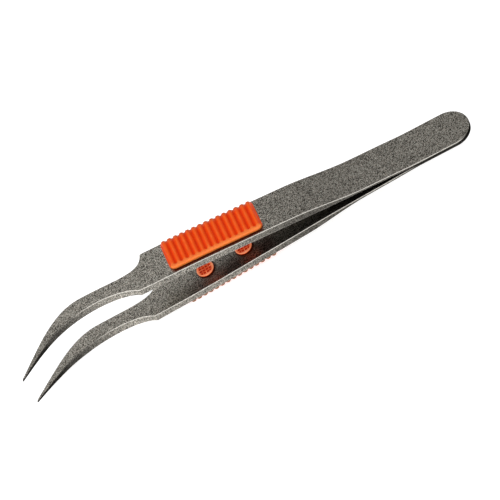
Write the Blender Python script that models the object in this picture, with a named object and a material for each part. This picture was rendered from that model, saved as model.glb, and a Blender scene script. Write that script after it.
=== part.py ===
"""Precision tweezers with curved points and ribbed plastic grips.

Two sprung steel arms lie on each other at the tail, where two spot welds join them, and spread to
a pair of fine points. Each arm carries a ribbed grip on its outer face. Two round studs pass
through the arm from the inside and hold the grip.

The length runs along X, with the points at -X and the tail at +X. The arms open along Z, the
upper one at +Z, and both points curve towards -Y. The lower arm is the upper one's mirror image.
The origin is the centre of the bounding box. Dimensions are in millimetres up to mesh_object,
which turns them into metres.
"""
import math

import bmesh
import bpy
import numpy as np
from mathutils import Vector

MM = 0.001
CLEARANCE = 0.05

# Steel strips
LENGTH = 120.0
WIDTH = 10.4
HALF_WIDTH = WIDTH / 2
TIP_X = -LENGTH / 2
TAIL_X = LENGTH / 2
TAIL_ROUND_X = TAIL_X - HALF_WIDTH
SHOULDER_X = -22.6
EDGE_CHAMFER = 0.2
STRIP_GAP = 0.025            # half the gap between the two strips at the tail
LEAF_THICKNESS = 0.6
SPREAD_X = 46.0              # where the strips part
HINGE_X = 37.0               # middle of the stretch that flexes
FLEX_CUT = 0.1               # gap between a leaf and its arm

# Height of an arm's inner face above the middle plane, along X
INNER_FACE = (
    (TAIL_X, STRIP_GAP), (SPREAD_X, STRIP_GAP), (38.0, 0.44), (22.0, 1.27), (4.0, 2.60),
    (-20.0, 4.08), (-34.0, 4.36), (-50.0, 4.68), (TIP_X, 4.25),
)
THICKNESS = (
    (TAIL_X, LEAF_THICKNESS), (SPREAD_X, LEAF_THICKNESS), (31.0, 0.58), (14.0, 1.88),
    (-20.0, 1.80), (-36.0, 2.22), (-44.0, 1.85), (-52.0, 1.00), (TIP_X, 0.32),
)

# Plan outline of the neck and the point, as cubic Bezier spans from the grip forwards
TIP_REACH = 12.1             # from the strips' centreline to the points
FAR_EDGE = (
    ((SHOULDER_X, HALF_WIDTH), (-22.95, HALF_WIDTH), (-23.1, 5.15), (-23.2, 4.8)),
    ((-23.2, 4.8), (-23.85, 2.3), (-25.6, 1.1), (-31.0, 1.0)),
    ((-31.0, 1.0), (-34.0, 0.98), (-37.0, 1.03), (-40.0, 1.05)),
    ((-40.0, 1.05), (-44.8, 1.1), (-49.2, -1.5), (-54.0, -5.95)),
    ((-54.0, -5.95), (-56.0, -7.8), (-58.0, -9.7), (TIP_X, -11.65)),
)
NEAR_EDGE = (
    ((-26.2, -HALF_WIDTH), (-26.55, -HALF_WIDTH), (-26.7, -5.08), (-26.9, -4.9)),
    ((-26.9, -4.9), (-28.3, -3.85), (-31.5, -2.7), (-36.5, -2.7)),
    ((-36.5, -2.7), (-41.5, -2.7), (-46.3, -4.1), (-50.0, -5.95)),
    ((-50.0, -5.95), (-53.5, -7.7), (-57.0, -10.0), (TIP_X, -TIP_REACH)),
)
CENTRELINE_Y = (TIP_REACH - HALF_WIDTH) / 2

# Grips
GRIP_FRONT_X = -17.75
GRIP_LENGTH = 23.8
GRIP_MIDDLE_X = GRIP_FRONT_X + GRIP_LENGTH / 2
GRIP_OPEN_INSET = 0.3        # from the strip's edge, on the side where the ribs run out
GRIP_RIM_INSET = 1.0         # from the strip's edge, on the side with the rim
GRIP_CORNER = 0.8
RIB_COUNT = 15
RIB_PITCH = 1.56
RIB_CREST = 1.02             # heights above the strip
RIB_VALLEY = 0.52
RIM_HEIGHT = 0.85
RIM_WIDTH = 0.7
GRIP_EDGE_HEIGHT = 0.45      # at the grip's outline, below its rounded edge
GRIP_EDGE_ROUND = 0.4

# Studs
STUD_SPACING = 10.4
STUD_RADIUS = 2.15
STUD_RIM = 0.4
STUD_HEAD = 0.42
STUD_RECESS = 0.2
SHANK_RADIUS = 1.2
SOCKET_DEPTH = 0.3
STUD_SIDES = 28

# Spot welds
WELD_X = {"front_weld": 50.0, "rear_weld": 56.0}
WELD_RADIUS = 1.6
WELD_HALF_THICKNESS = 0.12
WELD_POCKET = 0.15

MATERIALS = {
    "coated_steel": ((0.175, 0.160, 0.145), 0.55, 0.75),
    "orange_plastic": ((0.80, 0.10, 0.012), 0.38, 0.0),
    "weld_metal": ((0.30, 0.28, 0.26), 0.45, 1.0),
}


def clear_scene():
    for thing in list(bpy.data.objects):
        bpy.data.objects.remove(thing, do_unlink=True)


def material(name):
    colour, roughness, metallic = MATERIALS[name]
    made = bpy.data.materials.get(name) or bpy.data.materials.new(name)
    made.use_nodes = True
    shader = made.node_tree.nodes["Principled BSDF"]
    shader.inputs["Base Color"].default_value = (*colour, 1.0)
    shader.inputs["Roughness"].default_value = roughness
    shader.inputs["Metallic"].default_value = metallic
    return made


def smooth_value(stations, x):
    """Height at x on a monotone cubic through the stations, which run towards -X."""
    xs, ys = (np.array(column[::-1]) for column in zip(*stations))
    steps = np.diff(xs)
    slopes = np.diff(ys) / steps
    tangents = np.zeros(len(xs))
    tangents[0], tangents[-1] = slopes[0], slopes[-1]
    for i in range(1, len(xs) - 1):
        if slopes[i - 1] * slopes[i] > 0:
            before = 2 * steps[i] + steps[i - 1]
            after = steps[i] + 2 * steps[i - 1]
            tangents[i] = (before + after) / (before / slopes[i - 1] + after / slopes[i])
    i = min(max(int(np.searchsorted(xs, x)) - 1, 0), len(steps) - 1)
    t = (x - xs[i]) / steps[i]
    rise = t * t * (3 - 2 * t)
    lead = t * (1 - t) ** 2 * tangents[i] - t * t * (1 - t) * tangents[i + 1]
    return float(ys[i] + rise * (ys[i + 1] - ys[i]) + steps[i] * lead)


def inner_z(x):
    return smooth_value(INNER_FACE, x)


def outer_z(x):
    return inner_z(x) + smooth_value(THICKNESS, x)


def inner_slope(x):
    return inner_z(x + 0.5) - inner_z(x - 0.5)


def bezier_chain(spans, steps=24):
    """Points along joined cubic Bezier spans, ordered by growing x."""
    points = []
    for p0, p1, p2, p3 in spans:
        for t in np.linspace(0, 1, steps):
            weights = ((1 - t) ** 3, 3 * t * (1 - t) ** 2, 3 * t * t * (1 - t), t ** 3)
            points.append(np.dot(weights, (p0, p1, p2, p3)))
    return np.array(points[::-1])


FAR_CHAIN = bezier_chain(FAR_EDGE)
NEAR_CHAIN = bezier_chain(NEAR_EDGE)


def edge_ys(x):
    """The strip's near and far edge at x, from its centreline."""
    if x > TAIL_ROUND_X:
        half = math.sqrt(max(HALF_WIDTH ** 2 - (x - TAIL_ROUND_X) ** 2, 0.0))
        return -half, half
    near = np.interp(x, NEAR_CHAIN[:, 0], NEAR_CHAIN[:, 1], right=-HALF_WIDTH)
    far = np.interp(x, FAR_CHAIN[:, 0], FAR_CHAIN[:, 1], right=HALF_WIDTH)
    return float(near), float(far)


def mesh_object(name, vertices, faces, slot, parent=None, smooth_angle=None):
    """An object of one closed mesh, whose vertices are millimetres from its parent's origin."""
    bm = bmesh.new()
    corners = [bm.verts.new(Vector(v) * MM) for v in vertices]
    for face in faces:
        bm.faces.new([corners[i] for i in face])
    bmesh.ops.recalc_face_normals(bm, faces=bm.faces)
    mesh = bpy.data.meshes.new(name)
    bm.to_mesh(mesh)
    bm.free()
    if smooth_angle is not None:
        mesh.shade_smooth()
        mesh.set_sharp_from_angle(angle=math.radians(smooth_angle))
    mesh.materials.append(material(slot))
    made = bpy.data.objects.new(name, mesh)
    bpy.context.collection.objects.link(made)
    made.parent = parent
    return made


def loft(rings):
    """Vertices and faces of a closed solid through rings of equal size."""
    size = len(rings[0])
    vertices = [point for ring in rings for point in ring]
    faces = [tuple(range(size)), tuple(range((len(rings) - 1) * size, len(rings) * size))]
    for i in range(len(rings) - 1):
        for j in range(size):
            k = (j + 1) % size
            faces.append((i * size + j, i * size + k, (i + 1) * size + k, (i + 1) * size + j))
    return vertices, faces


def strip_ring(x):
    """The strip's chamfered cross-section at x."""
    near, far = edge_ys(x)
    low, high = inner_z(x), outer_z(x)
    cut = min(EDGE_CHAMFER, 0.3 * (high - low), 0.3 * (far - near))
    return [
        (x, near, low + cut), (x, near, high - cut), (x, near + cut, high), (x, far - cut, high),
        (x, far, high - cut), (x, far, low + cut), (x, far - cut, low), (x, near + cut, low),
    ]


def strip(name, xs, side, hinge):
    """A stretch of steel strip through the stations xs, on the upper or the lower side."""
    base = hinge.location / MM if hinge else Vector((0.0, 0.0, 0.0))
    rings = []
    for x in xs:
        ring = [Vector((px, py + CENTRELINE_Y, pz * side)) - base for px, py, pz in strip_ring(x)]
        rings.append(ring)
    vertices, faces = loft(rings)
    return mesh_object(name, vertices, faces, "coated_steel", hinge)


def stations(*stretches):
    """Values of x along stretches that are (start, end, steps)."""
    xs = [stretches[0][0]]
    for start, end, steps in stretches:
        xs.extend(np.linspace(start, end, steps + 1)[1:])
    return [float(x) for x in xs]


def arm_stations():
    return stations(
        (HINGE_X - FLEX_CUT / 2, 12.0, 12), (12.0, SHOULDER_X, 13), (SHOULDER_X, -24.2, 8),
        (-24.2, -31.0, 8), (-31.0, -40.0, 5), (-40.0, TIP_X, 22),
    )


def leaf_stations():
    round_end = [TAIL_ROUND_X + HALF_WIDTH * math.sin(math.radians(a)) for a in range(87, 0, -8)]
    return round_end + stations((TAIL_ROUND_X, SPREAD_X, 2), (SPREAD_X, HINGE_X + FLEX_CUT / 2, 5))


def cutter(name, location, radius, low, high, rotation=(0.0, 0.0, 0.0), parent=None):
    """A hidden cylinder from low to high along its own Z, for Boolean cuts."""
    bm = bmesh.new()
    bmesh.ops.create_cone(
        bm, cap_ends=True, segments=STUD_SIDES, radius1=radius * MM, radius2=radius * MM,
        depth=(high - low) * MM,
    )
    bmesh.ops.translate(bm, verts=bm.verts, vec=(0.0, 0.0, (high + low) / 2 * MM))
    mesh = bpy.data.meshes.new(name)
    bm.to_mesh(mesh)
    bm.free()
    made = bpy.data.objects.new(name, mesh)
    bpy.context.collection.objects.link(made)
    made.parent = parent
    made.location = Vector(location) * MM
    made.rotation_euler = rotation
    made.hide_render = True
    made.display_type = "WIRE"
    return made


def cut(target, tool):
    modifier = target.modifiers.new(tool.name, "BOOLEAN")
    modifier.operation = "DIFFERENCE"
    modifier.solver = "EXACT"
    modifier.object = tool


def grip_height(x, y_in):
    """The grip's height above the strip, y_in from its rim's outline."""
    phase = (x - GRIP_MIDDLE_X) / RIB_PITCH
    wave = 0.5 + 0.5 * math.cos(2 * math.pi * phase)
    if abs(phase) > RIB_COUNT / 2:
        wave = 0.0
    rib = RIB_VALLEY + (RIB_CREST - RIB_VALLEY) * wave
    return max(rib, RIM_HEIGHT) if y_in < RIM_WIDTH else rib


def grip_ys(x):
    """Distances of the grip's mesh lines at x from its rim's outline, to the open side."""
    depth = WIDTH - GRIP_RIM_INSET - GRIP_OPEN_INSET
    from_end = min(x - GRIP_FRONT_X, GRIP_FRONT_X + GRIP_LENGTH - x)
    start = 0.0
    if from_end < GRIP_CORNER:
        start = GRIP_CORNER - math.sqrt(GRIP_CORNER ** 2 - (GRIP_CORNER - from_end) ** 2)
    round_end = start + GRIP_EDGE_ROUND
    return [start, round_end, max(RIM_WIDTH, round_end + 0.1), max(RIM_WIDTH, round_end) + 0.4, depth]


def grip_stations():
    """The grip's mesh lines along X: its rounded ends, and six to each rib."""
    end = GRIP_LENGTH / 2
    ribs = np.arange(-RIB_COUNT * 3, RIB_COUNT * 3 + 1) * RIB_PITCH / 6
    ends = [end - 0.15, end]
    offsets = [-v for v in reversed(ends)] + [float(v) for v in ribs] + ends
    return [GRIP_MIDDLE_X + v for v in offsets]


def grip_ring(x, at_end):
    """The grip's cross-section at x, as (y, z) with y from the strip's centreline."""
    ys = grip_ys(x)
    tops = [grip_height(x, y) for y in ys]
    tops[0] = GRIP_EDGE_HEIGHT
    if at_end:
        tops = [GRIP_EDGE_HEIGHT] * len(ys)
    heights = [CLEARANCE, *tops, CLEARANCE]
    rim_y = GRIP_RIM_INSET - HALF_WIDTH
    return [(y + rim_y, outer_z(x) + h) for y, h in zip([ys[0], *ys, ys[-1]], heights)]


def grip(name, side, hinge):
    """A ribbed grip. The lower one is the same moulding turned half round about X."""
    base = hinge.location / MM
    xs = grip_stations()
    rings = []
    for x in xs:
        ring = grip_ring(x, x in (xs[0], xs[-1]))
        rings.append([Vector((x, y * side + CENTRELINE_Y, z * side)) - base for y, z in ring])
    vertices, faces = loft(rings)
    return mesh_object(name, vertices, faces, "orange_plastic", hinge)


def turned(name, profile, slot, parent=None):
    """A solid turned about its own Z from a profile of (radius, height), closed on the axis."""
    vertices, faces = [], []
    rings = []
    for radius, height in profile:
        if radius == 0.0:
            rings.append([len(vertices)] * STUD_SIDES)
            vertices.append((0.0, 0.0, height))
            continue
        rings.append(list(range(len(vertices), len(vertices) + STUD_SIDES)))
        for i in range(STUD_SIDES):
            angle = 2 * math.pi * i / STUD_SIDES
            vertices.append((radius * math.cos(angle), radius * math.sin(angle), height))
    for lower, upper in zip(rings, rings[1:]):
        for i in range(STUD_SIDES):
            j = (i + 1) % STUD_SIDES
            corners = (lower[i], lower[j], upper[j], upper[i])
            faces.append(tuple(dict.fromkeys(corners)))
    return mesh_object(name, vertices, faces, slot, parent, smooth_angle=35)


def stud_profile(thickness):
    inside = STUD_RADIUS - STUD_RIM
    return (
        (0.0, -STUD_HEAD + STUD_RECESS), (inside, -STUD_HEAD + STUD_RECESS), (inside, -STUD_HEAD),
        (STUD_RADIUS - 0.1, -STUD_HEAD), (STUD_RADIUS, -STUD_HEAD + 0.1),
        (STUD_RADIUS, -CLEARANCE), (SHANK_RADIUS, -CLEARANCE),
        (SHANK_RADIUS, thickness + SOCKET_DEPTH - CLEARANCE),
        (0.0, thickness + SOCKET_DEPTH - CLEARANCE),
    )


def add_studs(prefix, side, hinge, arm, pad):
    """Two studs, square to the arm's inner face, with the holes they pass through."""
    base = hinge.location / MM
    for word, offset in (("front", -STUD_SPACING / 2), ("rear", STUD_SPACING / 2)):
        x = GRIP_MIDDLE_X + offset
        thickness = outer_z(x) - inner_z(x)
        tilt = math.atan(inner_slope(x))
        rotation = (0.0, -tilt, 0.0) if side > 0 else (math.pi, tilt, 0.0)
        seat = Vector((x, CENTRELINE_Y, inner_z(x) * side)) - base
        stud = turned(f"{prefix}_{word}_stud", stud_profile(thickness), "orange_plastic", hinge)
        stud.location = seat * MM
        stud.rotation_euler = rotation
        tool = cutter(
            f"{prefix}_{word}_hole", seat, SHANK_RADIUS + CLEARANCE, -1.0,
            thickness + SOCKET_DEPTH, rotation, hinge,
        )
        cut(arm, tool)
        cut(pad, tool)


def add_side(prefix, side):
    """One arm with its grip and studs on a hinge line, and the leaf behind it."""
    leaf = strip(f"{prefix}_spring_leaf", leaf_stations(), side, None)
    hinge = bpy.data.objects.new(f"{prefix}_hinge", None)
    bpy.context.collection.objects.link(hinge)
    middle_z = (inner_z(HINGE_X) + outer_z(HINGE_X)) / 2
    hinge.location = Vector((HINGE_X, CENTRELINE_Y, middle_z * side)) * MM
    arm = strip(f"{prefix}_arm", arm_stations(), side, hinge)
    pad = grip(f"{prefix}_grip", side, hinge)
    add_studs(prefix, side, hinge, arm, pad)
    return leaf


def add_welds(leaves):
    """The fused nuggets between the leaves, in the hollows that they fill."""
    bevel = 0.06
    for name, x in WELD_X.items():
        profile = (
            (0.0, -WELD_HALF_THICKNESS), (WELD_RADIUS - 2 * bevel, -WELD_HALF_THICKNESS),
            (WELD_RADIUS, -bevel), (WELD_RADIUS, bevel),
            (WELD_RADIUS - 2 * bevel, WELD_HALF_THICKNESS), (0.0, WELD_HALF_THICKNESS),
        )
        nugget = turned(name, profile, "weld_metal")
        nugget.location = Vector((x, CENTRELINE_Y, 0.0)) * MM
        reach = STRIP_GAP + WELD_POCKET
        tool = cutter(
            f"{name}_hollow", (x, CENTRELINE_Y, 0.0), WELD_RADIUS + CLEARANCE, -reach, reach
        )
        for leaf in leaves:
            cut(leaf, tool)


def main():
    clear_scene()
    leaves = [add_side("upper", 1), add_side("lower", -1)]
    add_welds(leaves)


main()
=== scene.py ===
"""Looks of the precision tweezers: speckled steel blades, ribbed grips and gridded studs.

The frame gives the places of the pieces. Lengths are in millimetres until they go into a mesh,
where they become metres. The length runs along X with the points at -X, the arms open along Z, and
the points curve towards -Y. Heights along the strip depend on x alone. A pair of x values says
where along the strip a change starts and where it is complete.
"""

import math

import bmesh
import bpy
import numpy as np
from mathutils import Matrix, Vector

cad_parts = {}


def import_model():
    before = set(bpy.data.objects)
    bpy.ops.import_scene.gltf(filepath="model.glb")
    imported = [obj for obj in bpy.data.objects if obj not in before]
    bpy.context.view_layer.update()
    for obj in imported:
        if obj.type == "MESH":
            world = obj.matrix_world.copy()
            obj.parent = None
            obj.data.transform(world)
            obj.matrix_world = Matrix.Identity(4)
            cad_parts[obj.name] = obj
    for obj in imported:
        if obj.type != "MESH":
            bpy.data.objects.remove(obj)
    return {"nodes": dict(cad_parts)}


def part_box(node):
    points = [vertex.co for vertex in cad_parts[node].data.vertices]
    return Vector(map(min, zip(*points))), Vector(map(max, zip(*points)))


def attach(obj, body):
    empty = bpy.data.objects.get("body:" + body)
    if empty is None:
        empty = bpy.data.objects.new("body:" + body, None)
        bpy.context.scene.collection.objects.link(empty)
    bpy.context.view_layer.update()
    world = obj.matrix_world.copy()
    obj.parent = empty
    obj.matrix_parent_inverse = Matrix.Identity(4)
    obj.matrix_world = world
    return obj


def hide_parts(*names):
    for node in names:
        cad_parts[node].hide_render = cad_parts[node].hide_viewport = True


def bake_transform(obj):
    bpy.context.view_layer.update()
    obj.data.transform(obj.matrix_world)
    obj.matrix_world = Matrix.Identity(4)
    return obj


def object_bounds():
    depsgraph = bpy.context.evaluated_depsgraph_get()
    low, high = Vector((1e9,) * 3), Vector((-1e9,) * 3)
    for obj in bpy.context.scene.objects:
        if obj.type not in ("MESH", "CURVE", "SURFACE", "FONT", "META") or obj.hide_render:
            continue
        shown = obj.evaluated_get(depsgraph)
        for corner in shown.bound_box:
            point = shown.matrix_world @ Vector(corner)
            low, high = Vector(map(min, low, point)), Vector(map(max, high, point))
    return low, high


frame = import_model()
CAD_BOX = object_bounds()
MM = 0.001


def middle(cad_node):
    """The centre of a CAD node's box, in millimetres."""
    low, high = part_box(cad_node)
    return (low + high) / 2 / MM


def reach(cad_node, axis):
    """The lowest and highest coordinate of a CAD node along an axis, in millimetres."""
    low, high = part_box(cad_node)
    return low[axis] / MM, high[axis] / MM


SIDES = {"upper": 1, "lower": -1}
TIP_X = reach("upper_arm", 0)[0]
TAIL_X = reach("upper_spring_leaf", 0)[1]
CENTRELINE_Y = middle("front_weld").y

# Strip: heights of its inner face and its thickness along X, as the CAD strip has them
STRIP_GAP = 0.025
HALF_WIDTH = 5.2
TAIL_ROUND_X = TAIL_X - HALF_WIDTH
SPREAD_X = 46.0                       # the two strips part here
INNER_FACE = (
    (TAIL_X, STRIP_GAP), (SPREAD_X, STRIP_GAP), (38.0, 0.44), (22.0, 1.27), (4.0, 2.60),
    (-20.0, 4.08), (-34.0, 4.36), (-50.0, 4.68), (TIP_X, 4.25),
)
THICKNESS = (
    (TAIL_X, 0.6), (SPREAD_X, 0.6), (31.0, 0.58), (14.0, 1.88),
    (-20.0, 1.80), (-36.0, 2.22), (-44.0, 1.85), (-52.0, 1.00), (TIP_X, 0.32),
)

# Strip: plan outline of the neck and the point, as cubic Bezier spans from the grip forwards
TIP_REACH = 12.1
FAR_EDGE = (
    ((-22.6, HALF_WIDTH), (-22.95, HALF_WIDTH), (-23.1, 5.15), (-23.2, 4.8)),
    ((-23.2, 4.8), (-23.85, 2.3), (-25.6, 1.1), (-31.0, 1.0)),
    ((-31.0, 1.0), (-34.0, 0.98), (-37.0, 1.03), (-40.0, 1.05)),
    ((-40.0, 1.05), (-44.8, 1.1), (-49.2, -1.5), (-54.0, -5.95)),
    ((-54.0, -5.95), (-56.0, -7.8), (-58.0, -9.7), (TIP_X, -11.65)),
)
NEAR_EDGE = (
    ((-26.2, -HALF_WIDTH), (-26.55, -HALF_WIDTH), (-26.7, -5.08), (-26.9, -4.9)),
    ((-26.9, -4.9), (-28.3, -3.85), (-31.5, -2.7), (-36.5, -2.7)),
    ((-36.5, -2.7), (-41.5, -2.7), (-46.3, -4.1), (-50.0, -5.95)),
    ((-50.0, -5.95), (-53.5, -7.7), (-57.0, -10.0), (TIP_X, -TIP_REACH)),
)
STRAIGHT_PART = (50, -20, 71)         # both edges are straight here: start, end, points
SPAN_POINTS = 80
# Stretches along X that are (start, end, sections); both edges are spaced evenly in each
STRETCHES = (
    (TAIL_ROUND_X, SPREAD_X, 10), (SPREAD_X, 28.0, 26), (28.0, 12.0, 16), (12.0, -17.0, 26),
    (-17.0, -31.0, 64), (-31.0, -40.0, 20), (-40.0, TIP_X, 84),
)
ROUND_END_STEPS = 26
ROUND_END_STOP = math.radians(88.6)   # the round end closes with a narrow face
TIP_DOME = 0.45                       # length of the rounded end of a point
TIP_DOME_STOP = 0.985                 # share of that length after which a small face closes it

# Strip: rounded edges
EDGE_RADIUS = 0.16
EDGE_RADIUS_LIMIT = 0.6               # the most that a radius takes of the half thickness
EDGE_STEPS = 4
SUPPORT = 0.05                        # edge loops beside each rounded edge
FACE_COLUMNS = 6
POINT_SOFT = (-43.0, -51.0)           # stretch over which the points' edges become rounder
POINT_ROUNDING = (0.05, 0.28)         # shares of a point's width and half thickness

# Strip: painted shade and painted dark reflection on its sides and inner faces, in shares from 0 to 1
SIDE_DARK = 0.30                      # cut sides that face straight sideways
SIDE_DARK_TURN = 1.6                  # change as they turn fully towards the tail
SIDE_DARK_REAR = 0.45                 # more of it towards the tail
SIDE_DARK_LIMIT = 0.86                # the most, but 1 at the rear and at the tip
SIDE_REAR = (-6.0, 16.0)
SIDE_TIP = (-49.0, -53.0)
CORNER_DARK = 1.6                     # how far a side's darkness carries on round its corners
POINT_DARK = 0.9                      # the same on the soft edges of the points
SEAM_SHADE_SPAN = (38.0, 45.0)                   # painted shade: the inner edges darken to black where the strips meet
INNER_DARK = 0.55                     # painted shade on the inner faces where the gap closes
INNER_FADE = (-32.0, 5.0)

# Strip: its painted highlight along the corners
HIGHLIGHT_FADE = (-33.0, -48.0)            # stretch over which it ends
HIGHLIGHT_TURN = (0.15, 0.6)               # it also ends where the side turns this far to the tail

# Grips
GRIP_GAP = 0.05
GRIP_CORNER = 1.45                    # plan radius of the corners beside the rim
GRIP_EDGE = 0.34                      # rounding of the edge on the rim side and at the ends
GRIP_EDGE_STEPS = 6
GRIP_OPEN_CORNER = 0.8                # the same two on the side where the ribs run out
GRIP_OPEN_EDGE = 0.3
GRIP_OPEN_STEPS = 3
RIM_WIDTH = 0.55
RIM_FALL = 0.1                        # the top drops by this towards the rim's edge
RIM_FALL_WIDTH = 1.6
RIB_COUNT = 15
RIB_PITCH = 1.56
RIBBED_HALF = RIB_PITCH * RIB_COUNT / 2
RIB_CREST = 1.02
RIB_VALLEY = 0.5
RIB_END_ROUND = 0.42                  # a groove's round end is centred this share of a pitch off the rim
RIB_SAMPLES = 18                      # mesh lines for each rib
RIB_END_LINES = RIM_WIDTH + RIB_PITCH / 2 + 0.2  # how far across the closer mesh lines go
RIB_END_STEPS = 14                    # mesh steps up to there, and in the rest
RIB_STEPS = 7
GROOVE_POWER = 1.9

# Grips: places on the plastic's ramp of colours, 0 deep and 1 pale, which paint shade in the grooves and
# highlights on the crests and the rim
RIB_PALE = 0.72
RIM_PALE_SPAN = (0.6, 3.0)            # paleness falls off from 1 over these rim widths
OPEN_SIDE_PALE = 0.62
OPEN_SIDE_SPAN = (0.9, 0.3)           # it comes in between these distances from the open side
END_PALE = 0.5                        # flat ends past the last ribs, and this far before them
END_PALE_REACH = 0.1
RIB_END_SPAN = (0.4, 0.15)            # painted shade: brown rib ends, distances from the open side

# Studs
STUD_RADIUS = 2.15
STUD_RIM = 0.34
STUD_HEAD = 0.42
STUD_RECESS = 0.3
STUD_EDGE = 0.05
STUD_EDGE_ANGLE = math.radians(35)    # edges sharper than this are rounded
STUD_SIDES = 96
SHANK_RADIUS = 1.2
SHANK_STAND_OUT = 0.25                # the shank ends inside the grip
CELL_PITCH = 0.8
CELL_WALL = 0.22
CELL_CLEARANCE = 0.2                  # the cutters of the cells stand out of the head by this
ARC_STEP = math.radians(6)

# Studs: painted light and emitted light on the grid's walls and on the rim, which both fade to 0 in the
# cells, where painted shade stays
STUD_RIM_SPAN = (1.1, 0.6)            # the rim's come in between these rim widths from its edge
STUD_CREST = (0.55, 1.0)
STUD_PALE = (0.22, 1.0)
STUD_GLOW = (0.10, 0.40)
STUD_LEAST_GLOW = 0.05
SHANK_CREST = 0.3


# ---------------------------------------------------------------- meshes

def placed(name, data):
    """A new object in the scene that holds a mesh, a light or a camera."""
    made = bpy.data.objects.new(name, data)
    bpy.context.scene.collection.objects.link(made)
    return made


def store_shares(mesh, shares):
    """Keeps one number for each vertex under each name, for the materials."""
    for name, values in shares.items():
        kept = mesh.attributes.new(name, "FLOAT", "POINT")
        kept.data.foreach_set("value", np.asarray(values, dtype=np.float32))


def store_rest(mesh):
    """Keeps each vertex's rest position in millimetres, so that the grain stays put in every pose."""
    places = np.array([v.co for v in mesh.vertices]) / MM
    kept = mesh.attributes.new("rest_mm", "FLOAT_VECTOR", "POINT")
    kept.data.foreach_set("vector", places.astype(np.float32).ravel())


def mesh_piece(name, vertices, faces, material, shares):
    """A smooth-shaded piece from millimetre coordinates, with its numbers for the material."""
    mesh = bpy.data.meshes.new(name)
    mesh.from_pydata([tuple(v) for v in np.asarray(vertices) * MM], [], faces)
    bm = bmesh.new()
    bm.from_mesh(mesh)
    bmesh.ops.recalc_face_normals(bm, faces=bm.faces)
    bm.to_mesh(mesh)
    bm.free()
    mesh.shade_smooth()
    mesh.materials.append(material)
    store_shares(mesh, shares)
    store_rest(mesh)
    return placed(name, mesh)


def built(name, build, *arguments):
    """An object whose mesh is what a function adds to an empty bmesh."""
    mesh = bpy.data.meshes.new(name)
    bm = bmesh.new()
    build(bm, *arguments)
    bmesh.ops.recalc_face_normals(bm, faces=bm.faces)
    bm.to_mesh(mesh)
    bm.free()
    return placed(name, mesh)


def smooth_value(stations, x):
    """Height at x on a monotone cubic through the stations, which run towards -X."""
    xs, ys = (np.array(column[::-1]) for column in zip(*stations))
    steps = np.diff(xs)
    slopes = np.diff(ys) / steps
    tangents = np.zeros(len(xs))
    tangents[0], tangents[-1] = slopes[0], slopes[-1]
    for i in range(1, len(xs) - 1):
        if slopes[i - 1] * slopes[i] > 0:
            before = 2 * steps[i] + steps[i - 1]
            after = steps[i] + 2 * steps[i - 1]
            tangents[i] = (before + after) / (before / slopes[i - 1] + after / slopes[i])
    i = np.clip(np.searchsorted(xs, x) - 1, 0, len(steps) - 1)
    t = (x - xs[i]) / steps[i]
    rise = t * t * (3 - 2 * t)
    lead = t * (1 - t) ** 2 * tangents[i] - t * t * (1 - t) * tangents[i + 1]
    return ys[i] + rise * (ys[i + 1] - ys[i]) + steps[i] * lead


def inner_z(x):
    """Height of the upper strip's inner face."""
    return smooth_value(INNER_FACE, x)


def outer_z(x):
    """Height of the upper strip's outer face."""
    return inner_z(x) + smooth_value(THICKNESS, x)


def ramp(value, start, end):
    """0 at start, 1 at end, eased at both."""
    t = np.clip((value - start) / (end - start), 0, 1)
    return t * t * (3 - 2 * t)


def round_drop(radius, distance):
    """How far a quarter round has dropped at a distance in from its edge, and 0 past its radius."""
    left = radius - np.clip(distance, 0, radius)
    return radius - np.sqrt(radius ** 2 - left ** 2)


# ---------------------------------------------------------------- blades

def edge_line(spans, straight_y):
    """One edge of the strip from its straight part to the point, as close points (x, y)."""
    straight = np.linspace(*STRAIGHT_PART)
    points = [(TAIL_ROUND_X, straight_y), *((x, straight_y) for x in straight)]
    for span in spans:
        for t in np.linspace(0, 1, SPAN_POINTS):
            weights = ((1 - t) ** 3, 3 * t * (1 - t) ** 2, 3 * t * t * (1 - t), t ** 3)
            points.append(tuple(np.dot(weights, span)))
    return np.array(points)


def spaced(line, start_x, end_x, steps):
    """Points spaced evenly along a line between two values of x."""
    y_start, y_end = (np.interp(-x, -line[:, 0], line[:, 1]) for x in (start_x, end_x))
    inside = line[(line[:, 0] < start_x) & (line[:, 0] > end_x)]
    part = np.vstack([(start_x, y_start), inside, (end_x, y_end)])
    walked = np.concatenate([[0], np.cumsum(np.hypot(*np.diff(part, axis=0).T))])
    at = np.linspace(0, walked[-1], steps + 1)
    return np.column_stack([np.interp(at, walked, part[:, k]) for k in (0, 1)])


def outline():
    """Matching points of the near and the far edge from the tail to the point, with normals."""
    angles = np.linspace(ROUND_END_STOP, 0, ROUND_END_STEPS + 1)[:-1]
    arc_x = TAIL_ROUND_X + HALF_WIDTH * np.sin(angles)
    arc_y = HALF_WIDTH * np.cos(angles)
    edges = []
    for spans, sign in ((NEAR_EDGE, -1), (FAR_EDGE, 1)):
        line = edge_line(spans, sign * HALF_WIDTH)
        parts = [np.column_stack([arc_x, sign * arc_y])]
        for i, (start, end, steps) in enumerate(STRETCHES):
            parts.append(spaced(line, start, end, steps)[1 if i else 0:])
        edge = np.vstack(parts)
        along = np.gradient(edge, axis=0)
        normal = np.column_stack([along[:, 1], -along[:, 0]]) * sign
        normal /= np.linalg.norm(normal, axis=1)[:, None]
        edges.append((edge, normal))
    return edges


def tip_dome(near, far):
    """How much of its full size each section keeps, so that the points end rounded."""
    centre = (near + far) / 2
    left = np.hypot(*(centre[-1] - centre).T)
    t = np.clip(1 - left / TIP_DOME, 0, TIP_DOME_STOP)
    return np.sqrt(1 - t * t)


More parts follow.
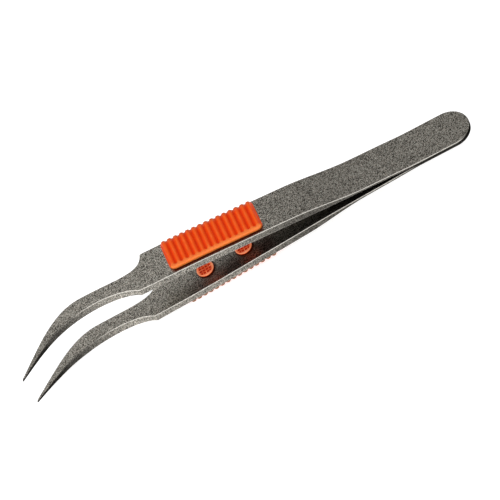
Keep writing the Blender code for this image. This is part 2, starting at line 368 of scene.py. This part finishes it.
def side_dark(x, normal):
    """Darkness of the cut sides, which stands in for dark surroundings that they reflect."""
    rear = ramp(x, *SIDE_REAR)
    dark = SIDE_DARK + SIDE_DARK_TURN * normal[:, 0] + SIDE_DARK_REAR * rear
    return np.clip(dark, 0, SIDE_DARK_LIMIT + (1 - SIDE_DARK_LIMIT) * (rear + ramp(x, *SIDE_TIP)))


def inner_dark(x):
    """Painted shade on the inner face, which grows as the gap closes."""
    return INNER_DARK * ramp(x, *INNER_FADE)


def side_profile(edge, normal, width):
    """Rounded edge from the inner face round to the outer face: points, painted corner highlight, and
    painted shade and dark reflection.
    """
    x = edge[:, 0]
    low, high = inner_z(x), outer_z(x)
    half = (high - low) / 2
    softness = ramp(x, *POINT_SOFT)
    radius = np.minimum(EDGE_RADIUS, EDGE_RADIUS_LIMIT * half)
    across = radius * (1 - softness) + POINT_ROUNDING[0] * width * softness
    upright = radius * (1 - softness) + POINT_ROUNDING[1] * half * softness
    margin = SUPPORT * (1 - softness) + POINT_ROUNDING[0] * width * softness
    cut_side = side_dark(x, normal)
    # painted highlight along the corners, ending towards the points and where the side turns to the tail
    highlight_line = (1 - ramp(x, *HIGHLIGHT_FADE)) * (1 - ramp(normal[:, 0], *HIGHLIGHT_TURN))
    # Each stop is inset, rise, painted highlight, how far it faces sideways, and whether the painted
    # shade where the strips meet covers it
    side_support = (0 * across, -np.minimum(SUPPORT, 0.5 * (half - upright)), 0.0, 1.0, True)
    face_support = (across + margin, upright, 0.0, 0.0, False)
    rounding = [
        (across * (1 - math.cos(t)), upright * math.sin(t), math.sin(2 * t), math.cos(t), True)
        for t in np.linspace(0, math.pi / 2, EDGE_STEPS + 1)
    ]
    stops = [side_support, *rounding, face_support]
    rows, highlights, dark = [], [], []
    for face, order, base, surface in ((-1, stops[::-1], low, inner_z), (1, stops, high, outer_z)):
        seam_shade = ramp(x, *SEAM_SHADE_SPAN) * (face < 0)
        for inset, rise, highlight, sideways, in_seam_shade in order:
            flank = edge - normal * inset[:, None]
            z = base + face * (rise - upright) + (surface(flank[:, 0]) - base) * (inset > 0)
            rows.append(np.column_stack([flank, z]))
            highlights.append(highlight * highlight_line * (1 - seam_shade))
            # painted dark reflection on the sides, and painted shade where the strips meet and on the
            # inner faces
            tone = np.clip(CORNER_DARK * sideways + POINT_DARK * softness, 0, 1) * cut_side
            tone = np.maximum(tone, seam_shade * in_seam_shade)
            dark.append(np.maximum(tone, inner_dark(x) * (face < 0) * (1 - sideways)))
    return rows, highlights, dark


def blade(side, material):
    """One whole stamped strip, from its round tail to its point."""
    (near, near_normal), (far, far_normal) = outline()
    width = np.hypot(*(far - near).T)
    near_rows, near_highlights, near_dark = side_profile(near, near_normal, width)
    far_rows, far_highlights, far_dark = side_profile(far, far_normal, width)
    outer, inner = [], []
    for k in range(1, FACE_COLUMNS):
        t = k / FACE_COLUMNS
        for row, columns, height in ((-1, outer, outer_z), (0, inner, inner_z)):
            flank = near_rows[row][:, :2] * (1 - t) + far_rows[row][:, :2] * t
            columns.append(np.column_stack([flank, height(flank[:, 0])]))
    blank = [np.zeros(len(near))] * (FACE_COLUMNS - 1)
    inside = [inner_dark(near[:, 0])] * (FACE_COLUMNS - 1)
    highlights = near_highlights + blank + far_highlights[::-1] + blank
    dark = near_dark + blank + far_dark[::-1] + inside
    rings = np.stack(near_rows + outer + far_rows[::-1] + inner[::-1], axis=1)
    centre = rings.mean(axis=1, keepdims=True)
    rings = centre + (rings - centre) * tip_dome(near, far)[:, None, None]
    sections, total = rings.shape[:2]
    faces = []
    for i in range(sections - 1):
        a, b = i * total, (i + 1) * total
        for j in range(total):
            k = (j + 1) % total
            faces.append((a + j, a + k, b + k, b + j))
    for start in (0, (sections - 1) * total):
        faces.extend(zipped_end(start, len(near_rows), len(outer)))
    vertices = rings.reshape(-1, 3) * (1, 1, SIDES[side]) + (0, CENTRELINE_Y, 0)
    # painted highlight along the corners, and painted shade and dark reflection, for the steel's
    # material
    shares = {"painted_highlight": np.stack(highlights, axis=1).ravel(), "painted_shade": np.stack(dark, axis=1).ravel()}
    return mesh_piece(f"{side}_blade", vertices, faces, material, shares)


def zipped_end(start, count, columns):
    """Faces that close the first or last section, from its near profile across to its far one."""
    near = [start + j for j in range(count)]
    far = [start + count + columns + j for j in range(count)][::-1]
    faces = [(near[j], near[j + 1], far[j + 1], far[j]) for j in range(1, count - 2)]
    outer = [start + count + j for j in range(columns)]
    inner = [start + 2 * count + columns + j for j in range(columns)]
    faces.append((near[-2], near[-1], *outer, far[-1], far[-2]))
    faces.append((near[0], near[1], far[1], far[0], *inner))
    return faces


# ---------------------------------------------------------------- grips

def grip_lines(half_length, depth):
    """Mesh lines of the grip: offsets along its length, and distances across it from the rim."""
    rounded = GRIP_EDGE * (1 - np.cos(np.linspace(0, math.pi / 2, GRIP_EDGE_STEPS + 1)))
    inside = half_length - GRIP_EDGE
    steps = int(round(2 * inside / RIB_PITCH * RIB_SAMPLES))
    along = np.concatenate([
        -half_length + rounded[:-1], np.linspace(-inside, inside, steps + 1),
        half_length - rounded[:-1][::-1],
    ])
    rib_ends = np.linspace(GRIP_EDGE, RIB_END_LINES, RIB_END_STEPS + 1)
    turned = 1 - np.cos(np.linspace(math.pi / 2, 0, GRIP_OPEN_STEPS + 1))
    open_side = depth - GRIP_OPEN_EDGE * turned
    ribs = np.linspace(rib_ends[-1], open_side[0], RIB_STEPS + 1)
    return along, np.concatenate([rounded[:-1], rib_ends, ribs[1:], open_side[1:]])


def groove(distance):
    """Depth share of a groove's round-bottomed section: 1 at its middle, 0 at the rib's crest."""
    t = np.clip(np.abs(distance) / (RIB_PITCH / 2), 0, 1)
    return (0.5 + 0.5 * np.cos(math.pi * t)) ** GROOVE_POWER


def grip_height(u, v):
    """Height of the ribbed top at u along from the middle and v across from the rim's outline."""
    middle_u = (np.floor(u / RIB_PITCH) + 0.5) * RIB_PITCH
    end_v = RIM_WIDTH + RIB_END_ROUND * RIB_PITCH
    away = np.hypot(u - middle_u, np.clip(end_v - v, 0, None))
    cut = np.where(np.abs(u) > RIBBED_HALF, 1.0, groove(away))
    crest = RIB_CREST - RIM_FALL * (1 - ramp(v, 0, RIM_FALL_WIDTH))
    return crest - (crest - RIB_VALLEY) * cut


def grip_top(half_length, depth):
    """Points of the pad's top, with its rounded corners and edges, in rows across the pad."""
    along, across = grip_lines(half_length, depth)
    rows = []
    for u in along:
        from_end = half_length - abs(u)
        start = round_drop(GRIP_CORNER, from_end)
        trim = round_drop(GRIP_OPEN_CORNER, from_end)
        v = start + (depth - trim - start) * across / depth
        corner_u = max(abs(u) - half_length + GRIP_CORNER, 0)
        corner_v = np.clip(GRIP_CORNER - v, 0, None)
        fall = round_drop(GRIP_EDGE, GRIP_CORNER - np.hypot(corner_u, corner_v))
        fall += round_drop(GRIP_OPEN_EDGE, depth - trim - v)
        rows.append(np.column_stack([np.full(len(v), u), v, grip_height(u, v) - fall]))
    return np.stack(rows)


def pad_faces(rows, columns):
    """Faces of a top grid, of the same grid under it, and of the wall round both."""
    under = rows * columns
    faces = []
    for i in range(rows - 1):
        for j in range(columns - 1):
            a, b = i * columns + j, (i + 1) * columns + j
            quad = (a, a + 1, b + 1, b)
            faces.append(quad)
            faces.append(tuple(k + under for k in reversed(quad)))
    border = (
        list(range(columns))
        + [i * columns + columns - 1 for i in range(1, rows)]
        + [(rows - 1) * columns + j for j in range(columns - 2, -1, -1)]
        + [i * columns for i in range(rows - 2, 0, -1)]
    )
    for a, b in zip(border, border[1:] + border[:1]):
        faces.append((a, b, b + under, a + under))
    return faces


def grip_shares(u, v, height, depth):
    """Numbers for the plastic: its place on the ramp of colours, which paints shade in the grooves and
    highlights on the crests and the rim, and the brown rib ends, which are painted shade.
    """
    crest = RIB_PALE * np.clip((height - RIB_VALLEY) / (RIB_CREST - RIB_VALLEY), 0, 1)
    rim = 1 - ramp(v, *(share * RIM_WIDTH for share in RIM_PALE_SPAN))
    crest = crest + (1 - crest) * rim
    crest = np.maximum(crest, OPEN_SIDE_PALE * ramp(v, *(depth - d for d in OPEN_SIDE_SPAN)))
    crest = np.maximum(crest, END_PALE * (np.abs(u) > RIBBED_HALF - END_PALE_REACH))
    return {"crest": crest, "rib_end": ramp(v, *(depth - d for d in RIB_END_SPAN))}


def grip(side, material):
    """The ribbed pad. Both pads are one moulding, the lower one turned half round about X."""
    sign = SIDES[side]
    low_x, high_x = reach(f"{side}_grip", 0)
    low_y, high_y = reach(f"{side}_grip", 1)
    depth = high_y - low_y
    rim_y = low_y if sign > 0 else high_y
    top = grip_top((high_x - low_x) / 2, depth)
    rows, columns = top.shape[:2]
    top = top.reshape(-1, 3)
    base = top.copy()
    base[:, 2] = GRIP_GAP
    u, v, height = np.vstack([top, base]).T
    x = u + (low_x + high_x) / 2
    vertices = np.column_stack([x, rim_y + sign * v, sign * (outer_z(x) + height)])
    shares = grip_shares(u, v, np.concatenate([top[:, 2], top[:, 2]]), depth)
    return mesh_piece(f"{side}_grip_pad", vertices, pad_faces(rows, columns), material, shares)


# ---------------------------------------------------------------- studs

def clipped_to_disc(square, radius):
    """The part inside a disc of a convex polygon, given anticlockwise, with arcs as short chords."""
    kept = []
    for start, end in zip(square, square[1:] + square[:1]):
        start, along = Vector(start), Vector(end) - Vector(start)
        if start.length <= radius:
            kept.append((start, False))
        middle_t = -start.dot(along) / along.length_squared
        spread = middle_t ** 2 - (start.length_squared - radius ** 2) / along.length_squared
        if spread > 0:
            for way, leaves in ((-1, False), (1, True)):
                t = middle_t + way * math.sqrt(spread)
                if 0 < t < 1:
                    kept.append((start + along * t, leaves))
    points = []
    for (point, leaves), (following, _) in zip(kept, kept[1:] + kept[:1]):
        points.append((point.x, point.y))
        if leaves:
            first = math.atan2(point.y, point.x)
            sweep = (math.atan2(following.y, following.x) - first) % (2 * math.pi)
            steps = math.ceil(sweep / ARC_STEP)
            for k in range(1, steps):
                turn = first + sweep * k / steps
                points.append((radius * math.cos(turn), radius * math.sin(turn)))
    return points


def prism(bm, polygon, low, high):
    """A closed prism added to bm."""
    rings = [[bm.verts.new((x, y, z)) for x, y in polygon] for z in (low, high)]
    bm.faces.new(rings[0][::-1])
    bm.faces.new(rings[1])
    for i in range(len(polygon)):
        j = (i + 1) % len(polygon)
        bm.faces.new((rings[0][i], rings[0][j], rings[1][j], rings[1][i]))


def stud_cells(bm):
    """Cutters of the grid's square cells, four each way, kept inside the rim."""
    half = (CELL_PITCH - CELL_WALL) / 2
    corners = ((-half, -half), (half, -half), (half, half), (-half, half))
    for i in range(-2, 2):
        for j in range(-2, 2):
            cx, cy = (i + 0.5) * CELL_PITCH, (j + 0.5) * CELL_PITCH
            cell = clipped_to_disc([(cx + dx, cy + dy) for dx, dy in corners], STUD_RADIUS - STUD_RIM)
            prism(bm, cell, -STUD_HEAD - CELL_CLEARANCE, -STUD_HEAD + STUD_RECESS)


def stud_body(bm, shank_length):
    """The stud without its grid: a flat round head on a shank, turned about Z."""
    profile = (
        (0.0, -STUD_HEAD), (STUD_RADIUS, -STUD_HEAD), (STUD_RADIUS, -GRIP_GAP),
        (SHANK_RADIUS, -GRIP_GAP), (SHANK_RADIUS, shank_length), (0.0, shank_length),
    )
    rings = []
    for radius, z in profile:
        turns = range(STUD_SIDES) if radius else range(1)
        angles = [2 * math.pi * i / STUD_SIDES for i in turns]
        rings.append([bm.verts.new((radius * math.cos(a), radius * math.sin(a), z)) for a in angles])
    for low, high in zip(rings, rings[1:]):
        for i in range(STUD_SIDES):
            j = (i + 1) % STUD_SIDES
            loop = (low[i % len(low)], low[j % len(low)], high[j % len(high)], high[i % len(high)])
            bm.faces.new(tuple(dict.fromkeys(loop)))


def stud_shares(spots):
    """Numbers for the plastic at each point of a stud, which has its head's face at -STUD_HEAD: painted
    light and emitted light on the walls and rim, and painted shade in the cells.
    """
    radii = np.hypot(spots[:, 0], spots[:, 1])
    sunk = spots[:, 2] + STUD_HEAD
    raised = 1 - np.clip(sunk / STUD_RECESS, 0, 1)
    on_rim = ramp(radii, *(STUD_RADIUS - share * STUD_RIM for share in STUD_RIM_SPAN))
    crest, pale, painted_glow = (
        raised * (wall + (rim - wall) * on_rim) for wall, rim in (STUD_CREST, STUD_PALE, STUD_GLOW)
    )
    crest = np.where(sunk > STUD_RECESS + 0.01, SHANK_CREST, crest)
    return {"crest": crest, "pale": pale, "painted_glow": STUD_LEAST_GLOW + painted_glow}


def stud(side, end, material):
    """A stud whose sunken face holds a grid of small square cells."""
    sign = SIDES[side]
    low_x, high_x = reach(f"{side}_{end}_stud", 0)
    x = (low_x + high_x) / 2
    body = built("stud_body", stud_body, float(outer_z(x) - inner_z(x)) + SHANK_STAND_OUT)
    cells = built("stud_cells", stud_cells)
    cut = body.modifiers.new("cells", "BOOLEAN")
    cut.operation = "DIFFERENCE"
    cut.solver = "EXACT"
    cut.object = cells
    soften = body.modifiers.new("soften", "BEVEL")
    soften.width = STUD_EDGE
    soften.segments = 3
    soften.limit_method = "ANGLE"
    soften.angle_limit = STUD_EDGE_ANGLE
    soften.harden_normals = True
    graph = bpy.context.evaluated_depsgraph_get()
    final = bpy.data.meshes.new_from_object(body.evaluated_get(graph))
    final.name = f"{side}_{end}_peg"
    for thing in (body, cells):
        bpy.data.objects.remove(thing)
    shares = stud_shares(np.array([v.co for v in final.vertices]))
    tilt = math.atan(float(inner_z(x + 0.5) - inner_z(x - 0.5)))
    turn = Matrix.Rotation(-sign * tilt, 4, "Y")
    if sign < 0:
        turn = turn @ Matrix.Rotation(math.pi, 4, "X")
    place = Matrix.Translation(Vector((x, CENTRELINE_Y, sign * float(inner_z(x)))))
    final.transform(Matrix.Scale(MM, 4) @ place @ turn)
    final.materials.clear()
    final.materials.append(material)
    store_shares(final, shares)
    store_rest(final)
    return placed(final.name, final)


# ---------------------------------------------------------------- materials

# Colours are linear. A ramp is a row of (position, colour) stops.
COATING = (
    (0.26, (0.010, 0.009, 0.008)), (0.40, (0.105, 0.096, 0.084)),
    (0.54, (0.300, 0.278, 0.246)), (0.76, (0.80, 0.75, 0.68)),
)
COATING_TINT = ((0.2, (1.0, 0.95, 0.90)), (0.8, (0.93, 1.0, 0.98)))
COATING_TINT_SHARE = 0.7
SPECK_SCALE = 8.0                     # scales are in features for each millimetre
FINE_SCALE = 12.0
BROAD_SCALE = 0.35
SPECK_SHARE = 0.6                     # shares of the three in the grain, and its shift
FINE_SHARE = 0.95
BROAD_SHARE = 0.05
GRAIN_SHIFT = 0.30
COATING_ROUGH = (0.16, 0.22)          # roughness: share of the fine noise, and what is added
COATING_RELIEF = (0.25, 0.03)         # bumps: strength, and depth in millimetres
# Painted shade and painted dark reflection on the strip: its colour, its share, and the darker specular
# tint
PAINTED_SHADE_COLOUR = (0.013, 0.012, 0.011)
PAINTED_SHADE_SHARE = 0.97
PAINTED_SHADE_SPECULAR = ((0.3, (1.0, 1.0, 1.0)), (0.9, (0.0, 0.0, 0.0)))
# Painted highlight along the strip's corners: its colour, its loss of metal, and breaks in it from the
# fine noise
HIGHLIGHT_COLOUR = (0.80, 0.77, 0.71)
HIGHLIGHT_METAL_LOSS = 0.8                 # how much less metallic the painted highlight line is
HIGHLIGHT_BREAKS = ((0.35, (0.4, 0.4, 0.4)), (0.6, (1.0, 1.0, 1.0)))
RIM_SHADE = (0.060, 0.010, 0.004)     # steel in front of a grip's rim
RIM_SHADE_SHARE = 0.9
RIM_SHADE_SPAN = (1.0, 0.55)          # distances in front of the grip over which it comes in
RIM_SHADE_ENDS = (-0.9, 0.1)          # distances past the grip's ends over which it ends
STUD_SHADE = (0.035, 0.006, 0.002)    # steel beside a stud
STUD_SHADE_SHARE = 0.9
STUD_SHADE_WIDTH = 0.5
STUD_SHADE_SHIFT = (0.2, -0.35, 0.0)  # the ring lies off the stud's middle by this
# Painted shade and highlight: the place on this ramp is deep in the hollows and pale on the crests and
# rims
PLASTIC = (
    (0.0, (0.71, 0.036, 0.001)), (0.35, (0.82, 0.058, 0.001)), (0.7, (0.83, 0.088, 0.002)),
    (1.0, (0.83, 0.195, 0.035)),
)
PLASTIC_CLOUD = 0.3                   # how far slow noise shifts the place on the ramp
PLASTIC_ROUGH = (0.22, 0.25)
PLASTIC_RELIEF = (0.25, 0.03)
PALE_PLASTIC = (1.0, 0.36, 0.19)      # painted highlight on the studs' walls and rims
PALE_SHARE = 0.8
# painted shade on the rib ends at the open side
RIB_END = (0.23, 0.125, 0.070)
RIB_END_SHARE = 0.95
WELD = ((0.3, (0.20, 0.17, 0.15)), (0.5, (0.38, 0.34, 0.29)), (0.7, (0.50, 0.48, 0.46)))
WELD_ROUGH = (0.3, 0.25)
WELD_RELIEF = (0.4, 0.04)


def feed(tree, made, inputs):
    """Puts values or links on a node's inputs."""
    for key, value in inputs.items():
        if isinstance(value, bpy.types.NodeSocket):
            tree.links.new(value, made.inputs[key])
        else:
            made.inputs[key].default_value = value


def node(tree, kind, inputs=None, **settings):
    """A shader node with its settings, and with values or links on its inputs."""
    made = tree.nodes.new(kind)
    for key, value in settings.items():
        setattr(made, key, value)
    feed(tree, made, inputs or {})
    return made


def new_material(name):
    """A material, its node tree and its shader node."""
    made = bpy.data.materials.new(name)
    made.use_nodes = True
    return made, made.node_tree, made.node_tree.nodes["Principled BSDF"]


def rest_place(tree):
    """Rest position of a vertex, in millimetres."""
    return node(tree, "ShaderNodeAttribute", attribute_name="rest_mm").outputs["Vector"]


def stored(tree, name):
    """A number that store_shares has put on the vertices, 0 on meshes without it."""
    return node(tree, "ShaderNodeAttribute", attribute_name=name).outputs["Fac"]


def noise(tree, place, **inputs):
    """The value of a noise texture."""
    return node(tree, "ShaderNodeTexNoise", {"Vector": place, **inputs}).outputs["Fac"]


def sums(tree, operation, a, b=0.0, clamp=False):
    """The result of one step of arithmetic."""
    made = node(tree, "ShaderNodeMath", {0: a, 1: b}, operation=operation, use_clamp=clamp)
    return made.outputs[0]


def scaled(tree, value, share, added):
    """A value times a share, plus an amount."""
    return sums(tree, "ADD", sums(tree, "MULTIPLY", value, share), added)


def fade(tree, value, low, high, start, end):
    """Start where the value is below low, end where it is above high, and straight between."""
    inputs = {"Value": value, "From Min": low, "From Max": high, "To Min": start, "To Max": end}
    return node(tree, "ShaderNodeMapRange", inputs).outputs["Result"]


def colour_ramp(tree, factor, stops):
    """The colour at a place on a ramp."""
    made = node(tree, "ShaderNodeValToRGB", {"Fac": factor})
    elements = made.color_ramp.elements
    elements[0].position = stops[0][0]
    elements[1].position = stops[-1][0]
    for position, _ in stops[1:-1]:
        elements.new(position)
    for element, (_, colour) in zip(elements, stops):
        element.color = (*colour, 1)
    return made.outputs["Color"]


def mixed(tree, factor, below, above, mode="MIX"):
    """A linked colour with another one, linked or plain, over it."""
    made = node(tree, "ShaderNodeMix", data_type="RGBA", blend_type=mode)
    if not isinstance(above, bpy.types.NodeSocket):
        above = (*above, 1)
    feed(tree, made, {0: factor, 6: below, 7: above})
    return made.outputs[2]


def relief(tree, height, strength, depth):
    """The normal of a surface with bumps of a depth in millimetres."""
    inputs = {"Height": height, "Strength": strength, "Distance": depth * MM}
    return node(tree, "ShaderNodeBump", inputs).outputs["Normal"]


def coated_steel():
    """Matte coating over steel, with a grain of light and dark specks, painted shade and dark
    reflection, and a painted highlight along the corners.
    """
    made, tree, shader = new_material("coated_steel_look")
    place = rest_place(tree)
    inputs = {"Vector": place, "Scale": SPECK_SCALE, "Smoothness": 0.2, "Randomness": 1.0}
    cells = node(tree, "ShaderNodeTexVoronoi", inputs, feature="SMOOTH_F1")
    speck = node(tree, "ShaderNodeSeparateColor", {"Color": cells.outputs["Color"]})
    fine = noise(tree, place, Scale=FINE_SCALE, Detail=2.0, Roughness=0.7)
    broad = noise(tree, place, Scale=BROAD_SCALE, Detail=2.0)
    level = sums(tree, "MULTIPLY", speck.outputs[0], SPECK_SHARE)
    level = sums(tree, "ADD", level, sums(tree, "MULTIPLY", fine, FINE_SHARE))
    level = sums(tree, "ADD", level, sums(tree, "MULTIPLY", broad, BROAD_SHARE))
    level = sums(tree, "SUBTRACT", level, GRAIN_SHIFT)
    colour = colour_ramp(tree, level, COATING)
    tint = colour_ramp(tree, speck.outputs[1], COATING_TINT)
    colour = mixed(tree, COATING_TINT_SHARE, colour, tint, "MULTIPLY")
    # painted shade and painted dark reflection, in the colour and in the specular tint
    painted_shade = stored(tree, "painted_shade")
    dark = sums(tree, "MULTIPLY", painted_shade, PAINTED_SHADE_SHARE)
    colour = mixed(tree, dark, colour, PAINTED_SHADE_COLOUR)
    colour = mixed(tree, rim_shade(tree, place), colour, RIM_SHADE)
    colour = mixed(tree, stud_shade(tree, place), colour, STUD_SHADE)
    # painted highlight along the corners, broken by the fine noise, brighter and less metallic
    highlight = stored(tree, "painted_highlight")
    shine = colour_ramp(tree, painted_shade, PAINTED_SHADE_SPECULAR)
    highlight = sums(tree, "MULTIPLY", highlight, colour_ramp(tree, fine, HIGHLIGHT_BREAKS))
    colour = mixed(tree, highlight, colour, HIGHLIGHT_COLOUR)
    highlight_metal = sums(tree, "MULTIPLY", highlight, HIGHLIGHT_METAL_LOSS)
    feed(tree, shader, {
        "Base Color": colour,
        "Specular Tint": shine,
        "Metallic": sums(tree, "SUBTRACT", 1.0, highlight_metal),
        "Roughness": scaled(tree, fine, *COATING_ROUGH),
        "Normal": relief(tree, level, *COATING_RELIEF),
    })
    return made


def rim_shade(tree, place):
    """Share of shade on the narrow margin of steel in front of a grip's rim."""
    low_x, high_x = reach("upper_grip", 0)
    front_y = reach("upper_grip", 1)[0]
    half = (high_x - low_x) / 2
    at = node(tree, "ShaderNodeSeparateXYZ", {"Vector": place})
    off_centre = sums(tree, "SUBTRACT", at.outputs["X"], (low_x + high_x) / 2)
    off_centre = sums(tree, "ABSOLUTE", off_centre)
    ends = [half + past for past in RIM_SHADE_ENDS]
    within = fade(tree, off_centre, *ends, 1.0, 0.0)
    span = [front_y - distance for distance in RIM_SHADE_SPAN]
    margin = fade(tree, at.outputs["Y"], *span, 0.0, RIM_SHADE_SHARE)
    above = sums(tree, "GREATER_THAN", at.outputs["Z"], 0.0)
    return sums(tree, "MULTIPLY", sums(tree, "MULTIPLY", within, margin), above)


def stud_shade(tree, place):
    """Share of shade in a narrow ring beside each stud. Upper and lower ones are at the same x and y."""
    at = node(tree, "ShaderNodeSeparateXYZ", {"Vector": place})
    flat = node(tree, "ShaderNodeCombineXYZ", {"X": at.outputs["X"], "Y": at.outputs["Y"]})
    rings = []
    for end in ("front", "rear"):
        centre = middle(f"lower_{end}_stud") + Vector(STUD_SHADE_SHIFT)
        ends = {0: flat.outputs[0], 1: (centre.x, centre.y, 0)}
        away = node(tree, "ShaderNodeVectorMath", ends, operation="DISTANCE").outputs["Value"]
        outside = STUD_RADIUS + STUD_SHADE_WIDTH
        rings.append(fade(tree, away, STUD_RADIUS, outside, STUD_SHADE_SHARE, 0.0))
    return sums(tree, "MAXIMUM", *rings)


def orange_plastic():
    """Satin moulded plastic: painted shade deeper in its hollows, painted highlight paler on crests and
    rims, and on the studs painted light, paler and faintly emitting light.
    """
    made, tree, shader = new_material("orange_plastic_look")
    place = rest_place(tree)
    # painted shade in the hollows and painted highlight on the crests and rims
    crest = stored(tree, "crest")
    cloud = noise(tree, place, Scale=0.5, Detail=3.0)
    cloud = sums(tree, "MULTIPLY", sums(tree, "SUBTRACT", cloud, 0.5), PLASTIC_CLOUD)
    colour = colour_ramp(tree, sums(tree, "ADD", crest, cloud, True), PLASTIC)
    # painted highlight: the studs are paler on their walls and rims
    pale = sums(tree, "MULTIPLY", stored(tree, "pale"), PALE_SHARE)
    colour = mixed(tree, pale, colour, PALE_PLASTIC)
    # painted shade: brown rib ends at the open side
    rib_end = sums(tree, "MULTIPLY", stored(tree, "rib_end"), RIB_END_SHARE)
    colour = mixed(tree, rib_end, colour, RIB_END)
    # painted light: the studs emit, though they are no lamp, in place of light falling on them
    painted_glow = stored(tree, "painted_glow")
    mould = noise(tree, place, Scale=6.0, Detail=4.0, Roughness=0.6)
    feed(tree, shader, {
        "Base Color": colour,
        "Emission Color": colour,
        "Emission Strength": painted_glow,
        "Roughness": scaled(tree, mould, *PLASTIC_ROUGH),
        "Specular IOR Level": 0.2,
        "Subsurface Weight": 0.12,
        "Subsurface Radius": (0.0012, 0.0004, 0.0001),
        "Subsurface Scale": 1.0,
        "Normal": relief(tree, mould, *PLASTIC_RELIEF),
    })
    return made


def weld_metal():
    """Bare fused steel of the spot welds, heat-tinted at random."""
    made, tree, shader = new_material("weld_metal_look")
    place = node(tree, "ShaderNodeTexCoord").outputs["Object"]
    heat = noise(tree, place, Scale=900.0, Detail=3.0)
    feed(tree, shader, {
        "Base Color": colour_ramp(tree, heat, WELD),
        "Metallic": 1.0,
        "Roughness": scaled(tree, heat, *WELD_ROUGH),
        "Normal": relief(tree, heat, *WELD_RELIEF),
    })
    return made


# ---------------------------------------------------------------- studio

# Lengths are in metres from here on
VIEW_AZIMUTH = math.radians(3.21)
VIEW_ELEVATION = math.radians(47.95)
VIEW_ROLL = math.radians(30.0)
VIEW_DISTANCE = 0.7
VIEW_AIM = Vector((0.46, 1.01, -2.22)) * MM
FOCAL_LENGTH = 214.5                  # these two are in millimetres
SENSOR_WIDTH = 36.0
# Softboxes: name, azimuth and elevation in degrees, distance, size, power
SOFTBOXES = (
    ("key", -20, 76, 1.1, (1.4, 1.1), 8.0),
    ("front", -30, 20, 1.0, (0.7, 0.35), 3.5),
    ("points", 195, 48, 0.35, (0.15, 0.15), 0.028),
)
SKY = ((0.0, (0.8, 0.8, 0.8)), (0.25, (0.46, 0.46, 0.46)), (1.0, (0.42, 0.42, 0.42)))
FLOOR_RADIUS = 3.0
FLOOR_GREY = (0.57, 0.57, 0.57, 1)
FLOOR_GLOW = 0.75                     # the table top glows, so that shadows stay faint


def heading(azimuth, elevation):
    """Unit vector from the object towards a compass angle, 0 being -Y and 90 degrees +X."""
    flat = math.cos(elevation)
    return Vector((math.sin(azimuth) * flat, -math.cos(azimuth) * flat, math.sin(elevation)))


def camera():
    """The photograph's view."""
    back = heading(VIEW_AZIMUTH, VIEW_ELEVATION)
    level = Vector((math.cos(VIEW_AZIMUTH), math.sin(VIEW_AZIMUTH), 0))
    rise = back.cross(level)
    right = level * math.cos(VIEW_ROLL) - rise * math.sin(VIEW_ROLL)
    up = level * math.sin(VIEW_ROLL) + rise * math.cos(VIEW_ROLL)
    place = Matrix((right, up, back)).transposed().to_4x4()
    place.translation = VIEW_AIM + back * VIEW_DISTANCE
    data = bpy.data.cameras.new("camera")
    data.lens = FOCAL_LENGTH
    data.sensor_width = SENSOR_WIDTH
    data.clip_start = 0.01
    data.clip_end = 20.0
    made = placed("camera", data)
    made.matrix_world = place
    bpy.context.scene.camera = made


def softbox(name, azimuth, elevation, distance, size, power):
    """A rectangular light that points at the object."""
    data = bpy.data.lights.new(name, "AREA")
    data.shape = "RECTANGLE"
    data.size, data.size_y = size
    data.energy = power
    towards = heading(math.radians(azimuth), math.radians(elevation))
    made = placed(name, data)
    made.location = towards * distance
    made.rotation_mode = "QUATERNION"
    made.rotation_quaternion = towards.to_track_quat("Z", "Y")


def world():
    """A grey sky, lighter at the horizon and below it."""
    made = bpy.data.worlds.new("studio")
    bpy.context.scene.world = made
    made.use_nodes = True
    tree = made.node_tree
    ray = node(tree, "ShaderNodeTexCoord").outputs["Generated"]
    height = node(tree, "ShaderNodeSeparateXYZ", {"Vector": ray}).outputs["Z"]
    sky = colour_ramp(tree, height, SKY)
    feed(tree, tree.nodes["Background"], {"Color": sky, "Strength": 1.0})


def floor(z):
    """A plain pale table top under the lowest point."""
    bm = bmesh.new()
    bmesh.ops.create_circle(bm, cap_ends=True, segments=96, radius=FLOOR_RADIUS)
    mesh = bpy.data.meshes.new("table_top")
    bm.to_mesh(mesh)
    bm.free()
    made = placed("table_top", mesh)
    made.location.z = z
    paint, tree, shader = new_material("table_paint")
    feed(tree, shader, {
        "Base Color": FLOOR_GREY,
        "Roughness": 0.8,
        "Specular IOR Level": 0.2,
        "Emission Color": (1, 1, 1, 1),
        "Emission Strength": FLOOR_GLOW,
    })
    mesh.materials.append(paint)


# ---------------------------------------------------------------- assembly

def assemble():
    """Every piece of the tweezers, with what it replaces and the bodies it moves with."""
    steel, plastic, weld = coated_steel(), orange_plastic(), weld_metal()
    for side in SIDES:
        strip = blade(side, steel)
        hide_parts(f"{side}_arm", f"{side}_spring_leaf")
        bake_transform(strip)
        pad = grip(side, plastic)
        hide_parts(f"{side}_grip")
        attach(pad, f"{side}_half")
        for end in ("front", "rear"):
            peg = stud(side, end, plastic)
            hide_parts(f"{side}_{end}_stud")
            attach(peg, f"{side}_half")
    for name in ("front_weld", "rear_weld"):
        nugget = frame["nodes"][name]
        nugget.data.materials.clear()
        nugget.data.materials.append(weld)


camera()
assemble()
floor(CAD_BOX[0].z)
world()
for row in SOFTBOXES:
    softbox(*row)
bpy.context.scene.view_settings.view_transform = "Standard"
